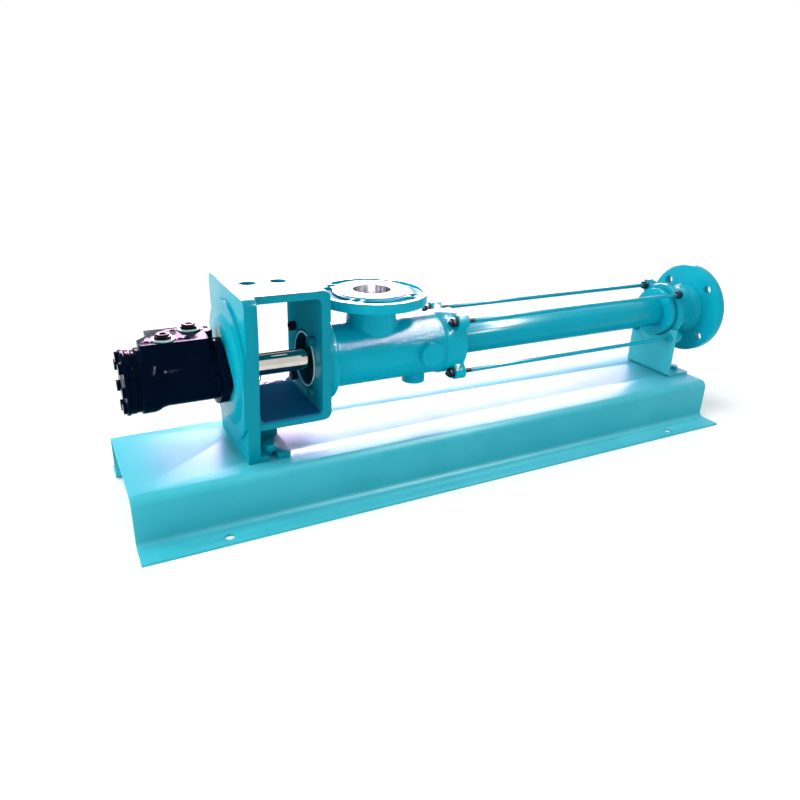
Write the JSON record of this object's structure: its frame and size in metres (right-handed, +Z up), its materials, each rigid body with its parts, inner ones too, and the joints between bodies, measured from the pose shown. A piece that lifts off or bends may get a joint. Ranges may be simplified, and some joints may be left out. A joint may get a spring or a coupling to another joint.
{
  "type": "progressive cavity pump",
  "caption": "Progressive cavity pump on a folded base: hydraulic motor, lantern bracket, flanged suction housing, long stator tube with tie rods and flanged discharge branch.",
  "frame": {"origin": "on the floor, at the centre of the four anchor holes of the base", "axes": "+X from the motor along the pump to the discharge flange, +Y to the side away from the small round front boss, +Z up out of the suction flange"},
  "size_m": [1.1976, 0.318, 0.3452],
  "materials": {
    "teal_paint": "gloss enamel over rough castings",
    "black_paint": "gloss black enamel",
    "bright_steel": "turned",
    "zinc_plated": "zinc plated",
    "dark_steel": "black oxide",
    "rotor_steel": "polished and hard-chromed",
    "stator_rubber": "moulded nitrile",
    "gasket_rubber": "sheet",
    "seal_carbon": "lapped carbon",
    "seal_ceramic": "lapped ceramic"
  },
  "bodies": {
    "casing": {"base_frame": "teal_paint", "lantern_bracket": "teal_paint", "bracket_washers": "teal_paint", "bracket_bolts": "teal_paint", "bracket_nuts": "zinc_plated", "motor_body": "black_paint", "motor_spacer_plate": "black_paint", "motor_gear_ring": "black_paint", "motor_end_cover": "black_paint", "motor_cover_bolts": "black_paint", "port_seal_rings": "zinc_plated", "port_plugs": "dark_steel", "motor_bolts": "black_paint", "motor_nuts": "zinc_plated", "seal_cover": "teal_paint", "seal_seat_ring": "seal_ceramic", "suction_housing": "teal_paint", "housing_bolts": "dark_steel", "suction_gasket": "gasket_rubber", "stator_tube": "teal_paint", "stator_lining": "stator_rubber", "stator_collar": "teal_paint", "discharge_gasket": "gasket_rubber", "discharge_branch": "teal_paint", "tie_rods": "teal_paint", "suction_rod_washers": "dark_steel", "suction_rod_nuts": "dark_steel", "upper_inner_rod_washers": "dark_steel", "upper_inner_rod_nuts": "dark_steel", "lower_inner_rod_washers": "teal_paint", "lower_inner_rod_nuts": "teal_paint", "outer_rod_washers": "teal_paint", "outer_rod_nuts": "teal_paint", "support_foot": "teal_paint", "support_washers": "teal_paint", "support_bolts": "teal_paint", "support_nuts": "zinc_plated"},
    "shaft_line": {"motor_shaft": "bright_steel", "shaft_key": "bright_steel", "drive_shaft": "bright_steel", "shaft_joint_pin": "bright_steel", "shaft_joint_sleeve": "stator_rubber", "seal_turning_ring": "seal_carbon", "seal_bellows": "stator_rubber", "seal_drive_collar": "bright_steel"},
    "rotor_orbit": {"rotor_joint_sleeve": "stator_rubber"},
    "rod": {"coupling_rod": "bright_steel"},
    "rotor_group": {"rotor": "rotor_steel", "rotor_joint_pin": "bright_steel"}
  },
  "joints": [
    {"name": "shaft_spin", "type": "hinge", "parent": "casing", "child": "shaft_line", "pos_m": [-0.3, 0, 0.2134], "axis": [1, 0, 0], "continuous": true},
    {"name": "rotor_orbit_turn", "type": "hinge", "parent": "casing", "child": "rotor_orbit", "pos_m": [-0.0375, 0, 0.2134], "axis": [1, 0, 0], "continuous": true},
    {"name": "rod_spin", "type": "hinge", "parent": "rotor_orbit", "child": "rod", "pos_m": [-0.1875, 0, 0.2134], "axis": [0.9997, 0, 0.0233], "continuous": true},
    {"name": "rotor_spin", "type": "hinge", "parent": "rotor_orbit", "child": "rotor_group", "pos_m": [-0.0375, 0, 0.2169], "axis": [1, 0, 0], "continuous": true}
  ],
  "couplings": [
    {"joint": "rotor_orbit_turn", "follows": "shaft_spin", "ratio": -1},
    {"joint": "rod_spin", "follows": "shaft_spin", "ratio": 2},
    {"joint": "rotor_spin", "follows": "shaft_spin", "ratio": 2}
  ]
}
